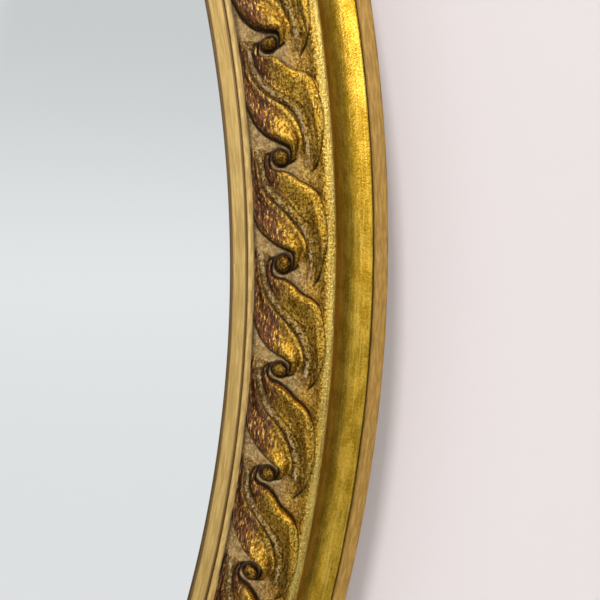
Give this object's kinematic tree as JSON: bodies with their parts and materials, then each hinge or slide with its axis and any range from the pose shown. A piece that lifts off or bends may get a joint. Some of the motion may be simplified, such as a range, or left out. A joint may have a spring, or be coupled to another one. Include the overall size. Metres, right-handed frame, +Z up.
{
  "type": "convex butlers mirror",
  "caption": "Round convex wall mirror in a narrow carved and gilded ring of twisted ribbon and pearls, with boarded back, turn buttons and D-ring hangers.",
  "frame": {"origin": "centre of the mirror, on the plane of the frame's back face", "axes": "-Y out of the glass towards the viewer, +Y into the wall, +Z up, +X to the right as seen from the front"},
  "size_m": [0.9, 0.0626, 0.9],
  "materials": {
    "carved_gilding": "gold leaf over red bole on carved, gessoed wood, rubbed and toned",
    "mat_gilding": "pale mat gilding on wood",
    "silvered_glass": "clear glass silvered on its hollow back",
    "bare_wood": "bare planed pine",
    "board_wood": "bare sawn pine boards",
    "brass": "dull lacquered brass",
    "felt": "brown felt"
  },
  "bodies": {
    "frame": {"carved_segment_1": "carved_gilding", "carved_segment_2": "carved_gilding", "carved_segment_3": "carved_gilding", "carved_segment_4": "carved_gilding", "carved_segment_5": "carved_gilding", "carved_segment_6": "carved_gilding", "carved_segment_7": "carved_gilding", "carved_segment_8": "carved_gilding", "sight_slip_1": "mat_gilding", "sight_slip_2": "mat_gilding", "sight_slip_3": "mat_gilding", "sight_slip_4": "mat_gilding", "back_segment_1": "bare_wood", "back_segment_2": "bare_wood", "back_segment_3": "bare_wood", "back_segment_4": "bare_wood", "back_segment_5": "bare_wood", "back_segment_6": "bare_wood", "back_segment_7": "bare_wood", "back_segment_8": "bare_wood", "mirror_glass": "silvered_glass", "glazing_block_1": "bare_wood", "glazing_block_2": "bare_wood", "glazing_block_3": "bare_wood", "glazing_block_4": "bare_wood", "glazing_block_5": "bare_wood", "glazing_block_6": "bare_wood", "glazing_block_7": "bare_wood", "glazing_block_8": "bare_wood", "back_board_left": "board_wood", "back_board_middle": "board_wood", "back_board_right": "board_wood", "button_screw_1": "brass", "button_screw_2": "brass", "button_screw_3": "brass", "button_screw_4": "brass", "button_screw_5": "brass", "button_screw_6": "brass", "hanger_strap_right": "brass", "hanger_screw_right_1": "brass", "hanger_screw_right_2": "brass", "hanger_strap_left": "brass", "hanger_screw_left_1": "brass", "hanger_screw_left_2": "brass", "wall_pad_right": "felt", "wall_pad_left": "felt"},
    "hanger_ring_right": {"hanger_ring_right": "brass"},
    "hanger_ring_left": {"hanger_ring_left": "brass"},
    "turn_button_1": {"turn_button_1": "brass"},
    "turn_button_2": {"turn_button_2": "brass"},
    "turn_button_3": {"turn_button_3": "brass"},
    "turn_button_4": {"turn_button_4": "brass"},
    "turn_button_5": {"turn_button_5": "brass"},
    "turn_button_6": {"turn_button_6": "brass"}
  },
  "joints": [
    {"name": "ring_swing_right", "type": "hinge", "parent": "frame", "child": "hanger_ring_right", "pos_m": [0.34976, 0.00327, 0.26125], "axis": [0.829, 0, 0.5592], "range_deg": [0, 180]},
    {"name": "ring_swing_left", "type": "hinge", "parent": "frame", "child": "hanger_ring_left", "pos_m": [-0.34976, 0.00327, 0.26125], "axis": [0.829, 0, -0.5592], "range_deg": [0, 180]},
    {"name": "button_turn_1", "type": "hinge", "parent": "frame", "child": "turn_button_1", "pos_m": [0.40975, 0.0008, 0.14914], "axis": [0, 1, 0], "continuous": true},
    {"name": "button_turn_2", "type": "hinge", "parent": "frame", "child": "turn_button_2", "pos_m": [0.40975, 0.0008, -0.14914], "axis": [0, 1, 0], "continuous": true},
    {"name": "button_turn_3", "type": "hinge", "parent": "frame", "child": "turn_button_3", "pos_m": [0.07572, 0.0008, 0.42943], "axis": [0, 1, 0], "continuous": true},
    {"name": "button_turn_4", "type": "hinge", "parent": "frame", "child": "turn_button_4", "pos_m": [-0.07572, 0.0008, -0.42943], "axis": [0, 1, 0], "continuous": true},
    {"name": "button_turn_5", "type": "hinge", "parent": "frame", "child": "turn_button_5", "pos_m": [-0.40975, 0.0008, 0.14914], "axis": [0, 1, 0], "continuous": true},
    {"name": "button_turn_6", "type": "hinge", "parent": "frame", "child": "turn_button_6", "pos_m": [-0.40975, 0.0008, -0.14914], "axis": [0, 1, 0], "continuous": true}
  ]
}
